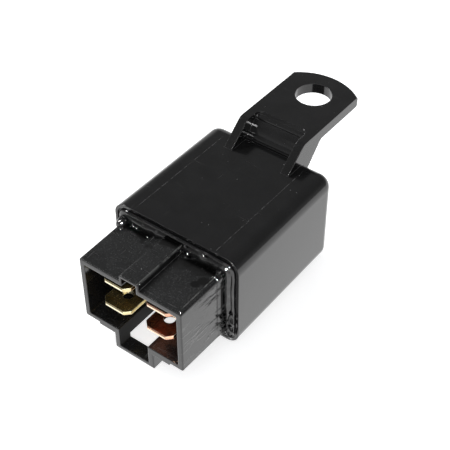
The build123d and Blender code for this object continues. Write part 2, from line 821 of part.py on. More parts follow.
# A resistor's wire: out of its end, over the contact terminals to the coil terminal's tail
def resistor_wire(direction, tail_z):
    level = tail_z + direction * (blade_thickness + wire_diameter) / 2
    start_z = axis_z + direction * resistor_length / 2
    with BuildPart() as wire:
        with BuildLine() as route:
            FilletPolyline(
                (resistor_x, resistor_y, start_z),
                (resistor_x, resistor_y, level),
                (coil_column, resistor_y, level),
                radius=wire_bend,
            )
        with BuildSketch(Plane.XY.offset(start_z)):
            with Locations((resistor_x, resistor_y)):
                Circle(wire_diameter / 2)
        sweep(path=route.wires()[0])
    return wire.part


# A coil's lead: from the winding up to the tail over it
def coil_lead(direction, tail_z):
    lead_y = winding_front + wire_diameter
    inner = axis_z + direction * winding_radius
    outer = tail_z - direction * blade_thickness / 2
    with BuildPart() as lead:
        with BuildSketch(Plane.XY.offset(inner)):
            with Locations((coil_column, lead_y)):
                Circle(wire_diameter / 2)
        extrude(amount=outer - inner)
    return lead.part


wires = {}
for side, direction, tail_z in (("upper", 1, upper_tail_z), ("lower", -1, lower_tail_z)):
    wires["resistor_lead_" + side] = resistor_wire(direction, tail_z)
    wires["coil_lead_" + side] = coil_lead(direction, tail_z)
for name, wire in wires.items():
    wire.label = name

pieces = [
    case.part,
    base.part,
    potting_seal.part,
    fixed_terminal.part,
    common_terminal.part,
    yoke.part,
    core.part,
    bobbin.part,
    coil_winding.part,
    armature.part,
    contact_arm.part,
    arm_rivets,
    spring_rivets,
    yoke_rivets,
    moving_contact.part,
    fixed_contact.part,
    return_spring.part,
    braid.part,
    resistor.part,
    *coil_terminals.values(),
    *wires.values(),
]
os.makedirs("parts", exist_ok=True)
for piece in pieces:
    export_step(piece, f"parts/{piece.label}.step")
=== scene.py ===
import math
import bpy
import bmesh
from mathutils import Matrix, Vector, noise


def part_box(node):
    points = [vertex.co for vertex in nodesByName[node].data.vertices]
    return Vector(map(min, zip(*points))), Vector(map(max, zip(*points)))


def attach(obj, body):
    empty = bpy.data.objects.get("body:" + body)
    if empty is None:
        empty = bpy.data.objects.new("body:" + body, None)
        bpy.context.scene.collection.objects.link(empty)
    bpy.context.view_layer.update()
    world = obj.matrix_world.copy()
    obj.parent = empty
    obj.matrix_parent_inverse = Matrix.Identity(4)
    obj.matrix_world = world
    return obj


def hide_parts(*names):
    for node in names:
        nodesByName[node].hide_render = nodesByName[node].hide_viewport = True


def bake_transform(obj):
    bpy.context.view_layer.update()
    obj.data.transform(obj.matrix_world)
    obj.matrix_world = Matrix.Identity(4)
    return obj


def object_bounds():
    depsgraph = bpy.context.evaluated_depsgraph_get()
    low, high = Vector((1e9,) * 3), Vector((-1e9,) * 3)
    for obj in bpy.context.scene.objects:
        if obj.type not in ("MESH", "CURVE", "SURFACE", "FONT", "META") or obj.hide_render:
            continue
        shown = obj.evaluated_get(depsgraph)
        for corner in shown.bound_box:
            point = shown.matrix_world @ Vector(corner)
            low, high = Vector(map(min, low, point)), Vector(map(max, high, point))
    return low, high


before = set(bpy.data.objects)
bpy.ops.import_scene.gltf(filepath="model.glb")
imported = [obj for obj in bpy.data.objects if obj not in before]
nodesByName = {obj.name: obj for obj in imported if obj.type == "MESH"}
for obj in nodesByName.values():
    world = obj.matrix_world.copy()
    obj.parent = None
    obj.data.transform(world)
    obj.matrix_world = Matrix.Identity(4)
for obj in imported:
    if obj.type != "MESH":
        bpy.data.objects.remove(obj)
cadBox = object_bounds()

mm = 0.001
scene = bpy.context.scene
print("frame loaded:", len(nodesByName), "nodes")


# Small helpers for node trees
def newGroup(name, inputs, outputs):
    group = bpy.data.node_groups.new(name, "ShaderNodeTree")
    for label, kind, value in inputs:
        socket = group.interface.new_socket(label, in_out="INPUT", socket_type=kind)
        if value is not None:
            socket.default_value = value
    for label, kind in outputs:
        group.interface.new_socket(label, in_out="OUTPUT", socket_type=kind)
    return group, group.nodes.new("NodeGroupInput"), group.nodes.new("NodeGroupOutput")


def addNode(tree, kind, settings=None, values=None, wires=None):
    node = tree.nodes.new(kind)
    for key, value in (settings or {}).items():
        setattr(node, key, value)
    for key, value in (values or {}).items():
        node.inputs[key].default_value = value
    for key, source in (wires or {}).items():
        tree.links.new(source, node.inputs[key])
    return node


def maths(tree, operation, first, second=None):
    node = addNode(tree, "ShaderNodeMath", {"operation": operation})
    for index, term in enumerate((first, second)):
        if term is None:
            continue
        if isinstance(term, (int, float)):
            node.inputs[index].default_value = term
        else:
            tree.links.new(term, node.inputs[index])
    return node.outputs[0]


def times(tree, first, second):
    return maths(tree, "MULTIPLY", first, second)


def plus(tree, first, second):
    return maths(tree, "ADD", first, second)


def without(tree, share):
    return maths(tree, "SUBTRACT", 1.0, share)


def distanceFrom(tree, source, value):
    return maths(tree, "ABSOLUTE", maths(tree, "SUBTRACT", source, value))


def mixColour(tree, factor, first, second):
    node = addNode(tree, "ShaderNodeMix", {"data_type": "RGBA"})
    for index, term in ((0, factor), (6, first), (7, second)):
        if isinstance(term, tuple):
            node.inputs[index].default_value = term
        else:
            tree.links.new(term, node.inputs[index])
    return node.outputs[2]


def span(tree, source, fromLow, fromHigh, toLow, toHigh):
    node = addNode(tree, "ShaderNodeMapRange", {"clamp": True}, wires={"Value": source})
    limits = {"From Min": fromLow, "From Max": fromHigh, "To Min": toLow, "To Max": toHigh}
    for label, value in limits.items():
        node.inputs[label].default_value = value
    return node.outputs[0]


def ramp(tree, source, start, end):
    return span(tree, source, start, end, 0.0, 1.0)


def noiseField(tree, place, scale, detail, roughness=0.5):
    node = addNode(tree, "ShaderNodeTexNoise", values={"Detail": detail, "Roughness": roughness},
                   wires={"Vector": place})
    if isinstance(scale, float):
        node.inputs["Scale"].default_value = scale
    else:
        tree.links.new(scale, node.inputs["Scale"])
    return node.outputs[0]


def axesOf(tree, vector):
    return addNode(tree, "ShaderNodeSeparateXYZ", wires={0: vector}).outputs


def facingOf(tree):
    return axesOf(tree, addNode(tree, "ShaderNodeTexCoord").outputs["Normal"])


def bumped(tree, height, strength, distance, normal=None):
    node = addNode(tree, "ShaderNodeBump", values={"Strength": strength, "Distance": distance},
                   wires={"Height": height})
    if normal is not None:
        tree.links.new(normal, node.inputs["Normal"])
    return node.outputs[0]


# Effects that several materials share, each a node group
grainLook = {
    "fine": {"detail": 4.0, "roughness": 0.6},
    "broad": {"scale": 260.0, "detail": 3.0},
    "spots": {"scale": 3100.0, "detail": 2.0, "roughness": 0.7},
    "spotRange": (0.47, 0.70),
}


def buildMouldedGrain():
    tree, source, sink = newGroup(
        "mouldedGrain",
        [("Coordinates", "NodeSocketVector", None),
         ("Grains per Metre", "NodeSocketFloat", 4000.0)],
        [("Height", "NodeSocketFloat"), ("Mottle", "NodeSocketFloat"),
         ("Speckle", "NodeSocketFloat")],
    )
    place, scale = source.outputs[0], source.outputs[1]
    spots = noiseField(tree, place, **grainLook["spots"])
    tree.links.new(noiseField(tree, place, scale, **grainLook["fine"]), sink.inputs[0])
    tree.links.new(noiseField(tree, place, **grainLook["broad"]), sink.inputs[1])
    tree.links.new(ramp(tree, spots, *grainLook["spotRange"]), sink.inputs[2])
    return tree


dustLook = {"outer": 0.09, "inner": 0.03, "faintness": 3.0}


def buildDust():
    tree, source, sink = newGroup(
        "dustSpecks",
        [("Coordinates", "NodeSocketVector", None), ("Specks per Metre", "NodeSocketFloat", 900.0),
         ("Share", "NodeSocketFloat", 0.06)],
        [("Mask", "NodeSocketFloat")],
    )
    cells = addNode(tree, "ShaderNodeTexVoronoi", {"feature": "F1"}, {"Randomness": 1.0},
                    {"Vector": source.outputs[0], "Scale": source.outputs[1]})
    dot = ramp(tree, cells.outputs["Distance"], dustLook["outer"], dustLook["inner"])
    pick = addNode(tree, "ShaderNodeSeparateColor", wires={"Color": cells.outputs["Color"]})
    chosen = maths(tree, "LESS_THAN", pick.outputs[0], source.outputs[2])
    faint = maths(tree, "POWER", pick.outputs[1], dustLook["faintness"])
    tree.links.new(times(tree, times(tree, dot, faint), chosen), sink.inputs[0])
    return tree


# Two sets of fine lines, each turned and stretched its own way
scuffLook = {
    "sets": [((0.2, 0.5, 0.7), (1.0, 9.0, 1.0)), ((0.9, 0.1, 2.1), (8.0, 1.0, 1.0))],
    "detail": 2.0, "range": (0.68, 0.74),
}


def buildScuffs():
    tree, source, sink = newGroup(
        "fineScuffs",
        [("Coordinates", "NodeSocketVector", None), ("Scale", "NodeSocketFloat", 60.0)],
        [("Mask", "NodeSocketFloat")],
    )
    marks = []
    for turn, stretch in scuffLook["sets"]:
        turned = addNode(tree, "ShaderNodeMapping", {"vector_type": "POINT"},
                         {"Rotation": turn, "Scale": stretch}, {"Vector": source.outputs[0]})
        lines = noiseField(tree, turned.outputs[0], source.outputs[1], scuffLook["detail"])
        marks.append(ramp(tree, lines, *scuffLook["range"]))
    tree.links.new(maths(tree, "MAXIMUM", *marks), sink.inputs[0])
    return tree


# Rounded edges from a bevelled normal; the mask lightens edges: partly wear, partly a painted edge
# highlight
edgeWearAndHighlightLook = {
    "samples": 6, "flat": 0.985, "rounded": 0.80,
    "patches": {"scale": 700.0, "detail": 3.0}, "patchRange": (0.35, 0.65, 0.35, 1.0),
}


def buildEdgeWearAndHighlight():
    tree, source, sink = newGroup(
        "edgeWearAndHighlight",
        [("Coordinates", "NodeSocketVector", None), ("Width", "NodeSocketFloat", 0.00025)],
        [("Mask", "NodeSocketFloat"), ("Rounded Normal", "NodeSocketVector")],
    )
    rounded = addNode(tree, "ShaderNodeBevel", {"samples": edgeWearAndHighlightLook["samples"]},
                      wires={"Radius": source.outputs[1]}).outputs[0]
    flat = addNode(tree, "ShaderNodeNewGeometry").outputs["Normal"]
    agree = addNode(tree, "ShaderNodeVectorMath", {"operation": "DOT_PRODUCT"},
                    wires={0: rounded, 1: flat}).outputs["Value"]
    edge = ramp(tree, agree, edgeWearAndHighlightLook["flat"], edgeWearAndHighlightLook["rounded"])
    patches = noiseField(tree, source.outputs[0], **edgeWearAndHighlightLook["patches"])
    patches = span(tree, patches, *edgeWearAndHighlightLook["patchRange"])
    tree.links.new(times(tree, edge, patches), sink.inputs[0])
    tree.links.new(rounded, sink.inputs[1])
    return tree


rolledLook = {
    "lines": {"detail": 4.0, "roughness": 0.65},
    "stain": {"scale": 420.0, "detail": 5.0, "roughness": 0.62},
}


def buildRolledMetal():
    tree, source, sink = newGroup(
        "rolledMetal",
        [("Coordinates", "NodeSocketVector", None),
         ("Stretch", "NodeSocketVector", (40.0, 1.0, 40.0)), ("Scale", "NodeSocketFloat", 120.0)],
        [("Lines", "NodeSocketFloat"), ("Stain", "NodeSocketFloat")],
    )
    stretched = addNode(tree, "ShaderNodeVectorMath", {"operation": "MULTIPLY"},
                        wires={0: source.outputs[0], 1: source.outputs[1]}).outputs[0]
    lines = noiseField(tree, stretched, source.outputs[2], **rolledLook["lines"])
    tree.links.new(lines, sink.inputs[0])
    tree.links.new(noiseField(tree, source.outputs[0], **rolledLook["stain"]), sink.inputs[1])
    return tree


mouldedGrain = buildMouldedGrain()
dustSpecks = buildDust()
fineScuffs = buildScuffs()
edgeWearAndHighlight = buildEdgeWearAndHighlight()
rolledMetal = buildRolledMetal()
print("shared effects built:", len(bpy.data.node_groups))


# Materials
def startMaterial(name):
    material = bpy.data.materials.new(name)
    material.use_nodes = True
    tree = material.node_tree
    tree.nodes.clear()
    place = addNode(tree, "ShaderNodeTexCoord").outputs["Object"]
    shader = addNode(tree, "ShaderNodeBsdfPrincipled")
    addNode(tree, "ShaderNodeOutputMaterial", wires={"Surface": shader.outputs[0]})
    return material, tree, place, shader


def useGroup(tree, group, place, values):
    return addNode(tree, "ShaderNodeGroup", {"node_tree": group}, values, {"Coordinates": place})


# What all the moulded pieces and the resin have in common
mouldedLook = {
    "top": (0.5, 0.9), "mottle": (0.3, 0.7), "gloss": (0.25, 0.75),
    "dustShare": 0.8, "dustTone": (0.55, 0.55, 0.55, 1), "scuffRough": 0.12,
    "waves": {"scale": 150.0, "detail": 1.0}, "waveDepth": 0.0002, "grainDepth": 0.00004,
}


def mouldedPlastic(name, look):
    material, tree, place, shader = startMaterial(name)
    grain = useGroup(tree, mouldedGrain, place, {"Grains per Metre": look["grains"]})
    edge = useGroup(tree, edgeWearAndHighlight, place, {"Width": look["edge"]})
    dust = useGroup(tree, dustSpecks, place,
                    {"Specks per Metre": look["specks"], "Share": look["dust"]})
    scuffs = useGroup(tree, fineScuffs, place, {"Scale": look["scuffScale"]})
    height, mottle, speckle = (grain.outputs[index] for index in range(3))
    facing = facingOf(tree)
    onTop = ramp(tree, facing["Z"], *mouldedLook["top"])
    # pale grains on upward faces: moulded texture, and partly a painted sheen
    speckle = times(tree, times(tree, speckle, onTop), look["speckle"])
    wetness = wallShade = None
    layers = []
    if "wet" in look:
        wetness = wetShare(tree, place, look["wet"])
        speckle = times(tree, speckle, without(tree, wetness))
        layers.append((wetness, look["wet"]["tone"]))
    layers += [
        (speckle, look["speckTone"]),
        # edges lightened: wear, and partly a painted highlight along them
        (times(tree, edge.outputs[0], look["edgeShare"]), look["edgeTone"]),
        (times(tree, scuffs.outputs[0], look["scuffShare"]), look["scuffTone"]),
        (times(tree, dust.outputs[0], mouldedLook["dustShare"]), mouldedLook["dustTone"]),
    ]
    # painted highlight lines on upward faces, with wear on the keyway's edge
    if "highlightLines" in look:
        lines = times(tree, paleLineMask(tree, place, look["highlightLines"]), onTop)
        layers.append((lines, look["highlightLines"]["tone"]))
    # painted shade: the latch window's side walls get a near-black tone
    if "window" in look:
        wallShade = windowWallShade(tree, place, look["window"], facing["X"])
        layers.append((wallShade, look["window"]["tone"]))
    tone = mixColour(tree, ramp(tree, mottle, *mouldedLook["mottle"]), look["dark"], look["light"])
    for share, colour in layers:
        tone = mixColour(tree, share, tone, colour)
    tree.links.new(tone, shader.inputs["Base Color"])

    rough = span(tree, mottle, *mouldedLook["gloss"], look["smooth"], look["rough"])
    rough = plus(tree, rough, times(tree, onTop, look["topRough"]))
    rough = plus(tree, rough, times(tree, scuffs.outputs[0], mouldedLook["scuffRough"]))
    if wetness is not None:
        dry = times(tree, rough, without(tree, wetness))
        rough = plus(tree, dry, times(tree, wetness, look["wet"]["rough"]))
    if wallShade is not None:
        rough = maths(tree, "MAXIMUM", rough, times(tree, wallShade, look["window"]["rough"]))
    tree.links.new(rough, shader.inputs["Roughness"])

    waves = noiseField(tree, place, **mouldedLook["waves"])
    finish = bumped(tree, waves, look["sink"], mouldedLook["waveDepth"], edge.outputs[1])
    height = times(tree, height, maths(tree, "MAXIMUM", onTop, look["sideGrain"]))
    finish = bumped(tree, height, look["bump"], mouldedLook["grainDepth"], finish)
    if "drag" in look:
        finish = dragMarks(tree, place, look["drag"], without(tree, onTop), finish)
    if "dimple" in look:
        finish = dimple(tree, place, look["dimple"], finish)
    tree.links.new(finish, shader.inputs["Normal"])
    shader.inputs["IOR"].default_value = look["ior"]
    return material


# Thin pale lines, broken up along their length: painted highlights along edges and where flat faces
# turn into rounded ones, and on the keyway's edge wear as well. Each has the axis that it
# crosses and its place there, its width, where it starts and ends, and its strength
dashLook = {"detail": 3.0, "range": (0.42, 0.60, 0.15, 1.0)}


def paleLineMask(tree, place, highlightLines):
    axes = axesOf(tree, place)
    mask = None
    for axis, at, width, (start, end), strength in highlightLines["lines"]:
        share = span(tree, distanceFrom(tree, axes[axis], at), width / 2, width, strength, 0.0)
        along = axes["Y" if axis == "X" else "X"]
        share = times(tree, share, ramp(tree, along, start, start + highlightLines["fade"]))
        share = times(tree, share, ramp(tree, along, end, end - highlightLines["fade"]))
        mask = share if mask is None else maths(tree, "MAXIMUM", mask, share)
    dashes = noiseField(tree, place, highlightLines["dashes"], dashLook["detail"])
    return times(tree, mask, span(tree, dashes, *dashLook["range"]))


# Where the resin has wetted the plastic: blots near the bead, and ragged spots
def wetShare(tree, place, wet):
    blots = noiseField(tree, place, wet["scale"], wet["detail"])
    near = ramp(tree, axesOf(tree, place)["Y"], wet["from"], wet["to"])
    total = plus(tree, blots, times(tree, near, wet["reach"]))
    share = times(tree, ramp(tree, total, *wet["range"]), near)
    for middle, radius in wet["spots"]:
        gap = addNode(tree, "ShaderNodeVectorMath", {"operation": "DISTANCE"}, {1: middle},
                      {0: place}).outputs["Value"]
        ragged = plus(tree, gap, times(tree, blots, radius))
        spot = ramp(tree, ragged, radius * wet["outer"], radius * wet["inner"])
        share = maths(tree, "MAXIMUM", share, spot)
    return share


# The two side walls of the latch window, which see little light: painted shade, a near-black tone
# with full roughness
def windowWallShade(tree, place, window, sideways):
    axes = axesOf(tree, place)
    inside = maths(tree, "LESS_THAN", maths(tree, "ABSOLUTE", axes["X"]), window["half"])
    below = maths(tree, "LESS_THAN", axes["Z"], window["floor"])
    upright = maths(tree, "GREATER_THAN", maths(tree, "ABSOLUTE", sideways), window["upright"])
    return times(tree, times(tree, inside, below), upright)


# Marks that the mould dragged along the shroud's sides, strongest at the collar
def dragMarks(tree, place, drag, share, normal):
    turned = addNode(tree, "ShaderNodeMapping", {"vector_type": "POINT"},
                     {"Rotation": (drag["tilt"], 0, 0), "Scale": drag["stretch"]},
                     {"Vector": place}).outputs[0]
    lines = noiseField(tree, turned, drag["scale"], drag["detail"], drag["roughness"])
    axes = axesOf(tree, place)
    near = span(tree, axes["Y"], drag["from"], drag["to"], drag["least"], 1.0)
    outside = maths(tree, "GREATER_THAN", maths(tree, "ABSOLUTE", axes["X"]), drag["beyond"])
    share = times(tree, times(tree, near, outside), share)
    marks = times(tree, ramp(tree, lines, *drag["range"]), share)
    return bumped(tree, marks, drag["strength"], drag["depth"], normal)


def dimple(tree, place, spot, normal):
    gap = addNode(tree, "ShaderNodeVectorMath", {"operation": "DISTANCE"}, {1: spot["at"]},
                  {0: place}).outputs["Value"]
    bowl = ramp(tree, gap, 0.0, spot["radius"])
    return bumped(tree, bowl, spot["strength"], spot["depth"], normal)


# What all the metal pieces have in common; the front edges of the blades face -Y, and faces turned
# that way get a painted highlight
metalLook = {"stain": (0.35, 0.68), "lines": (0.3, 0.7), "depth": 0.00002, "ahead": (-0.55, -0.95)}


def stampedMetal(name, look):
    material, tree, place, shader = startMaterial(name)
    rolled = useGroup(tree, rolledMetal, place,
                      {"Stretch": look["stretch"], "Scale": look["scale"]})
    edge = useGroup(tree, edgeWearAndHighlight, place, {"Width": look["edge"]})
    lines, stain = rolled.outputs
    tone = mixColour(tree, ramp(tree, stain, *metalLook["stain"]), look["clean"], look["stained"])
    # edges mixed towards the bright tone: worn metal, and partly a painted highlight
    tone = mixColour(tree, edge.outputs[0], tone, look["bright"])
    # painted highlight: faces turned towards -Y are mixed towards the bright tone
    if "front" in look:
        ahead = span(tree, facingOf(tree)["Y"], *metalLook["ahead"], 0.0, look["front"])
        tone = mixColour(tree, ahead, tone, look["bright"])
    tree.links.new(tone, shader.inputs["Base Color"])
    rough = span(tree, lines, *metalLook["lines"], look["smooth"], look["rough"])
    rough = plus(tree, rough, times(tree, edge.outputs[0], look["worn"]))
    tree.links.new(rough, shader.inputs["Roughness"])
    finish = bumped(tree, lines, look["bump"], metalLook["depth"], edge.outputs[1])
    tree.links.new(finish, shader.inputs["Normal"])
    shader.inputs["Metallic"].default_value = 1.0
    return material


caseLook = {
    "dark": (0.0055, 0.0055, 0.0057, 1), "light": (0.0085, 0.0085, 0.0088, 1), "ior": 1.6,
    "grains": 5200.0, "bump": 0.06, "sideGrain": 0.4, "sink": 0.05,
    "edge": 0.00022, "edgeShare": 0.45, "edgeTone": (0.08, 0.08, 0.082, 1),
    "specks": 900.0, "dust": 0.35, "speckle": 0.10, "speckTone": (0.03, 0.03, 0.03, 1),
    "scuffScale": 170.0, "scuffShare": 0.03, "scuffTone": (0.05, 0.05, 0.05, 1),
    "smooth": 0.07, "rough": 0.12, "topRough": 0.05,
    # painted highlight: pale lines where the flat top turns into its rounded side edges
    "highlightLines": {"dashes": 900.0, "tone": (0.055, 0.055, 0.055, 1), "fade": 0.0010, "lines": [
        ("X", -0.0097, 0.00011, (-0.0445, -0.0165), 1.0),
        ("X", 0.0088, 0.00011, (-0.0445, -0.0165), 1.0),
    ]},
}
baseLook = {
    "dark": (0.0080, 0.0082, 0.0084, 1), "light": (0.0125, 0.0127, 0.0130, 1), "ior": 1.6,
    "grains": 7800.0, "bump": 0.30, "sideGrain": 0.15, "sink": 0.10,
    "edge": 0.00030, "edgeShare": 0.40, "edgeTone": (0.08, 0.08, 0.082, 1),
    "specks": 900.0, "dust": 0.30, "speckle": 0.50, "speckTone": (0.050, 0.051, 0.051, 1),
    "scuffScale": 220.0, "scuffShare": 0.10, "scuffTone": (0.08, 0.08, 0.08, 1),
    "smooth": 0.07, "rough": 0.13, "topRough": 0.15,
    "drag": {
        "tilt": -0.14, "stretch": (1.0, 0.13, 1.6), "scale": 1050.0, "detail": 3.0,
        "roughness": 0.6, "range": (0.57, 0.63), "from": -0.0550, "to": -0.0465, "least": 0.12,
        "strength": 0.9, "depth": 0.00014, "beyond": 0.0112,
    },
    "wet": {
        "scale": 300.0, "detail": 2.0, "from": -0.0500, "to": -0.0460, "reach": 0.20,
        "range": (0.60, 0.66), "rough": 0.06, "tone": (0.001, 0.001, 0.001, 1),
        "outer": 1.5, "inner": 1.2,
        "spots": [((0.0050, -0.0466, -0.0053), 0.0014), ((0.0097, -0.0483, -0.0053), 0.0011),
                  ((0.0090, -0.0497, -0.0053), 0.0009)],
    },
    # the keyway's worn edge, which also carries a painted highlight, then painted highlight lines
    # round the panel beside it
    "highlightLines": {"dashes": 700.0, "tone": (0.115, 0.117, 0.112, 1), "fade": 0.0012, "lines": [
        ("X", 0.00205, 0.00034, (-0.0570, -0.0445), 1.0),
        ("X", 0.0107, 0.00016, (-0.0562, -0.0462), 0.7),
        ("Y", -0.0559, 0.00016, (0.0030, 0.0105), 0.35),
    ]},
    # painted shade on the latch window's side walls: near-black tone and full roughness
    "window": {"half": 0.0036, "floor": -0.0180, "upright": 0.9, "rough": 1.0,
               "tone": (0.001, 0.001, 0.001, 1)},
    "dimple": {"at": (0.00521, -0.05057, -0.00532), "radius": 0.00045, "strength": 0.8,
               "depth": 0.00012},
}
resinLook = {
    "dark": (0.005, 0.005, 0.0055, 1), "light": (0.008, 0.008, 0.008, 1), "ior": 1.7,
    "grains": 1500.0, "bump": 0.10, "sideGrain": 1.0, "sink": 0.10,
    "edge": 0.00010, "edgeShare": 0.10, "edgeTone": (0.03, 0.03, 0.03, 1),
    "specks": 800.0, "dust": 0.03, "speckle": 0.0, "speckTone": (0.03, 0.03, 0.03, 1),
    "scuffScale": 120.0, "scuffShare": 0.03, "scuffTone": (0.04, 0.04, 0.04, 1),
    "smooth": 0.04, "rough": 0.08, "topRough": 0.0,
}
bobbinLook = {
    "dark": (0.36, 0.33, 0.26, 1), "light": (0.47, 0.44, 0.36, 1), "ior": 1.5,
    "grains": 3000.0, "bump": 0.2, "sideGrain": 1.0, "sink": 0.05,
    "edge": 0.00012, "edgeShare": 0.4, "edgeTone": (0.60, 0.57, 0.50, 1),
    "specks": 900.0, "dust": 0.02, "speckle": 0.2, "speckTone": (0.25, 0.22, 0.16, 1),
    "scuffScale": 60.0, "scuffShare": 0.2, "scuffTone": (0.30, 0.27, 0.20, 1),
    "smooth": 0.42, "rough": 0.55, "topRough": 0.0,
}
brassLook = {
    "clean": (0.80, 0.64, 0.29, 1), "stained": (0.50, 0.38, 0.14, 1),
    "bright": (1.0, 0.96, 0.76, 1),
    "stretch": (7.0, 1.0, 7.0), "scale": 700.0, "bump": 0.10, "edge": 0.00014,
    "smooth": 0.20, "rough": 0.28, "worn": 0.14, "front": 0.75,
}
copperLook = {
    "clean": (0.82, 0.35, 0.20, 1), "stained": (0.50, 0.14, 0.08, 1),
    "bright": (1.0, 0.88, 0.68, 1),
    "stretch": (7.0, 1.0, 7.0), "scale": 700.0, "bump": 0.08, "edge": 0.00014,
    "smooth": 0.18, "rough": 0.26, "worn": 0.14, "front": 0.75,
}
zincLook = {
    "clean": (0.62, 0.62, 0.60, 1), "stained": (0.45, 0.45, 0.43, 1),
    "bright": (0.80, 0.80, 0.78, 1),
    "stretch": (3.0, 9.0, 3.0), "scale": 300.0, "bump": 0.25, "edge": 0.00012,
    "smooth": 0.26, "rough": 0.42, "worn": -0.13,
}
silverLook = {
    "clean": (0.80, 0.79, 0.75, 1), "stained": (0.62, 0.60, 0.54, 1),
    "bright": (0.92, 0.91, 0.88, 1),
    "stretch": (6.0, 6.0, 6.0), "scale": 500.0, "bump": 0.15, "edge": 0.00010,
    "smooth": 0.22, "rough": 0.36, "worn": -0.11,
}
springLook = {
    "clean": (0.74, 0.42, 0.26, 1), "stained": (0.55, 0.27, 0.15, 1),
    "bright": (0.90, 0.62, 0.44, 1),
    "stretch": (1.0, 24.0, 24.0), "scale": 260.0, "bump": 0.12, "edge": 0.00006,
    "smooth": 0.20, "rough": 0.34, "worn": -0.10,
}
tinLook = {
    "clean": (0.70, 0.70, 0.69, 1), "stained": (0.52, 0.52, 0.50, 1),
    "bright": (0.84, 0.84, 0.82, 1),
    "stretch": (10.0, 10.0, 10.0), "scale": 400.0, "bump": 0.1, "edge": 0.00005,
    "smooth": 0.22, "rough": 0.38, "worn": -0.11,
}
rivetLook = dict(brassLook, stretch=(4.0, 4.0, 4.0), scale=600.0, edge=0.00008)

casePlastic = mouldedPlastic("casePlastic", caseLook)
basePlastic = mouldedPlastic("basePlastic", baseLook)
pottingResin = mouldedPlastic("pottingResin", resinLook)
bobbinPlastic = mouldedPlastic("bobbinPlastic", bobbinLook)
bladeBrass = stampedMetal("bladeBrass", brassLook)
bladeCopper = stampedMetal("bladeCopper", copperLook)
platedIron = stampedMetal("platedIron", zincLook)
contactSilver = stampedMetal("contactSilver", silverLook)
springCopper = stampedMetal("springCopper", springLook)
tinnedWire = stampedMetal("tinnedWire", tinLook)
rivetBrass = stampedMetal("rivetBrass", rivetLook)


def waveScale(pitch):
    return math.pi / (10 * pitch)  # at scale 1 the wave texture repeats every pi / 10


windingLook = {
    "crest": (0.62, 0.26, 0.12, 1), "gap": (0.20, 0.06, 0.025, 1), "wire": 0.00014, "bump": 0.5,
    "wave": {"Distortion": 0.6, "Detail": 1.0, "Detail Scale": 0.4},
    "stain": {"Stretch": (1.0, 1.0, 1.0), "Scale": 300.0}, "stainRange": (0.5, 0.75, 0.0, 0.5),
    "gloss": (0.3, 0.7, 0.22, 0.34), "metal": 0.85, "varnish": 0.35,
}


def enamelledWinding():
    look = windingLook
    material, tree, place, shader = startMaterial("enamelledWinding")
    turns = addNode(tree, "ShaderNodeTexWave",
                    {"wave_type": "BANDS", "bands_direction": "Y", "wave_profile": "SIN"},
                    {"Scale": waveScale(look["wire"]), **look["wave"]}, {"Vector": place})
    turns = turns.outputs["Fac"]
    lines, stain = useGroup(tree, rolledMetal, place, look["stain"]).outputs
    # the gaps between turns are darker: painted shade
    tone = mixColour(tree, turns, look["gap"], look["crest"])
    tone = mixColour(tree, span(tree, stain, *look["stainRange"]), tone, look["gap"])
    tree.links.new(tone, shader.inputs["Base Color"])
    tree.links.new(span(tree, lines, *look["gloss"]), shader.inputs["Roughness"])
    finish = bumped(tree, turns, look["bump"], look["wire"] / 3)
    tree.links.new(finish, shader.inputs["Normal"])
    shader.inputs["Metallic"].default_value = look["metal"]
    shader.inputs["Coat Weight"].default_value = look["varnish"]
    return material


braidLook = {
    "crest": (0.80, 0.45, 0.28, 1), "gap": (0.24, 0.09, 0.04, 1), "pitch": 0.00055, "turn": 38,
    "wave": {"Distortion": 0.8, "Detail": 2.0}, "full": 0.5, "bump": 0.8, "rough": 0.36,
}


def wovenBraid():
    look = braidLook
    material, tree, place, shader = startMaterial("wovenBraid")
    strands = []
    for turn in (look["turn"], -look["turn"]):
        turned = addNode(tree, "ShaderNodeMapping", {"vector_type": "POINT"},
                         {"Rotation": (math.radians(turn), 0, 0)}, {"Vector": place})
        wave = addNode(tree, "ShaderNodeTexWave", {"wave_type": "BANDS", "bands_direction": "Y"},
                       {"Scale": waveScale(look["pitch"]), **look["wave"]},
                       {"Vector": turned.outputs[0]})
        strands.append(wave.outputs["Fac"])
    weave = times(tree, *strands)
    # the gaps between strands are darker: painted shade
    tone = mixColour(tree, ramp(tree, weave, 0.0, look["full"]), look["gap"], look["crest"])
    tree.links.new(tone, shader.inputs["Base Color"])
    finish = bumped(tree, weave, look["bump"], look["pitch"] / 4)
    tree.links.new(finish, shader.inputs["Normal"])
    shader.inputs["Metallic"].default_value = 1.0
    shader.inputs["Roughness"].default_value = look["rough"]
    return material


# Bands: place along the body, from -1 to 1, and colour
resistorLook = {
    "body": (0.24, 0.38, 0.47, 1), "shade": (0.19, 0.31, 0.39, 1), "grains": 2600.0,
    "mottle": (0.35, 0.65), "gloss": (0.3, 0.7, 0.22, 0.34), "bump": 0.2, "depth": 0.0001,
    "lacquer": 0.5, "band": 0.00042, "sharp": 0.85,
    "bands": [
        (-0.55, (0.30, 0.12, 0.03, 1)), (-0.25, (0.02, 0.02, 0.02, 1)),
        (0.05, (0.30, 0.12, 0.03, 1)), (0.50, (0.30, 0.12, 0.03, 1)),
    ],
}


